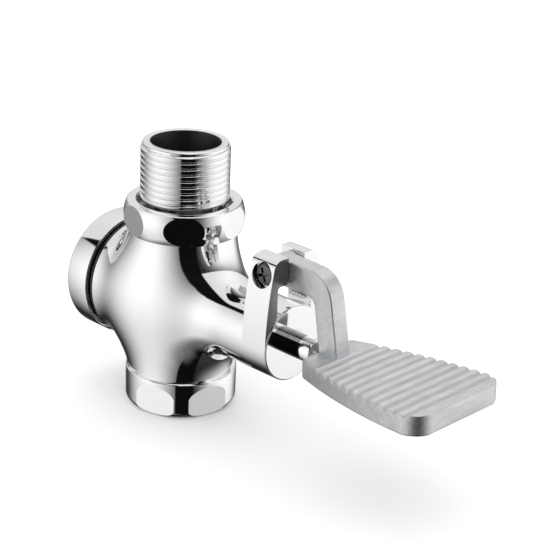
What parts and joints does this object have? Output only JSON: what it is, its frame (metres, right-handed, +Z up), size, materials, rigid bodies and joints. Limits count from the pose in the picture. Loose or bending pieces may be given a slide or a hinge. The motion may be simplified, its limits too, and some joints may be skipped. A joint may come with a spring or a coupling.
{
  "type": "flush valve",
  "caption": "Foot pedal flush valve with threaded inlet nipple, hex union nut, round piston body, rear cap, flush pipe socket and a ribbed pedal hinged in a fork.",
  "frame": {"origin": "centre of the outlet mouth, on the lower face of the outlet nut", "axes": "+Z up along the water way towards the inlet, +X along the push rod towards the pedal, +Y completes the frame"},
  "size_m": [0.1743, 0.0486, 0.1034],
  "materials": {
    "polished_chrome": "mirror-polished chrome plate on brass",
    "cast_aluminium": "matt blasted casting",
    "brass": "turned",
    "black_rubber": "moulded rubber",
    "fibre": "pressed fibre",
    "spring_steel": "drawn wire",
    "dark_steel": "dark nickel"
  },
  "bodies": {
    "valve": {"valve_body": "polished_chrome", "inlet_nipple": "polished_chrome", "inlet_union_nut": "polished_chrome", "inlet_gasket": "fibre", "outlet_nut": "polished_chrome", "outlet_seal_ring": "black_rubber", "outlet_washer": "brass", "rear_cap": "polished_chrome", "cap_gasket": "fibre", "cap_groove_ring": "black_rubber", "seat_ring": "brass", "piston_spring": "spring_steel", "rod_gland": "brass", "gland_outer_ring": "black_rubber", "gland_inner_ring": "black_rubber", "gland_clip": "spring_steel", "rod_bush": "polished_chrome", "rod_return_spring": "spring_steel", "pivot_screw": "dark_steel"},
    "pedal": {"foot_pedal": "cast_aluminium", "pivot_bush": "brass"},
    "rod": {"push_rod": "polished_chrome"},
    "piston": {"piston": "brass", "piston_cup_seal": "black_rubber", "cup_clamp_plate": "brass", "seat_washer": "black_rubber", "washer_holder": "brass", "refill_jet": "brass", "relief_spring": "spring_steel", "relief_spring_plate": "brass"},
    "relief_valve": {"relief_stem": "brass", "relief_washer": "black_rubber"}
  },
  "joints": [
    {"name": "pedal_hinge", "type": "hinge", "parent": "valve", "child": "pedal", "pos_m": [0.0526, 0, 0.0695], "axis": [0, 1, 0], "range_deg": [0, 11], "stiffness_Nm_per_rad": 1, "springref_deg": -14.32},
    {"name": "rod_slide", "type": "slide", "parent": "valve", "child": "rod", "axis": [-1, 0, 0], "range_m": [0, 0.00577], "deforming": ["rod_return_spring"]},
    {"name": "piston_slide", "type": "slide", "parent": "valve", "child": "piston", "axis": [-1, 0, 0], "range_m": [0, 0.00462], "deforming": ["piston_spring"]},
    {"name": "relief_slide", "type": "slide", "parent": "piston", "child": "relief_valve", "axis": [-1, 0, 0], "range_m": [0, 0.00116], "deforming": ["relief_spring"]}
  ],
  "couplings": [
    {"joint": "rod_slide", "follows": "pedal_hinge", "m_per_rad": 0.03},
    {"joint": "piston_slide", "follows": "pedal_hinge", "m_per_rad": 0.024},
    {"joint": "relief_slide", "follows": "pedal_hinge", "m_per_rad": 0.006}
  ]
}
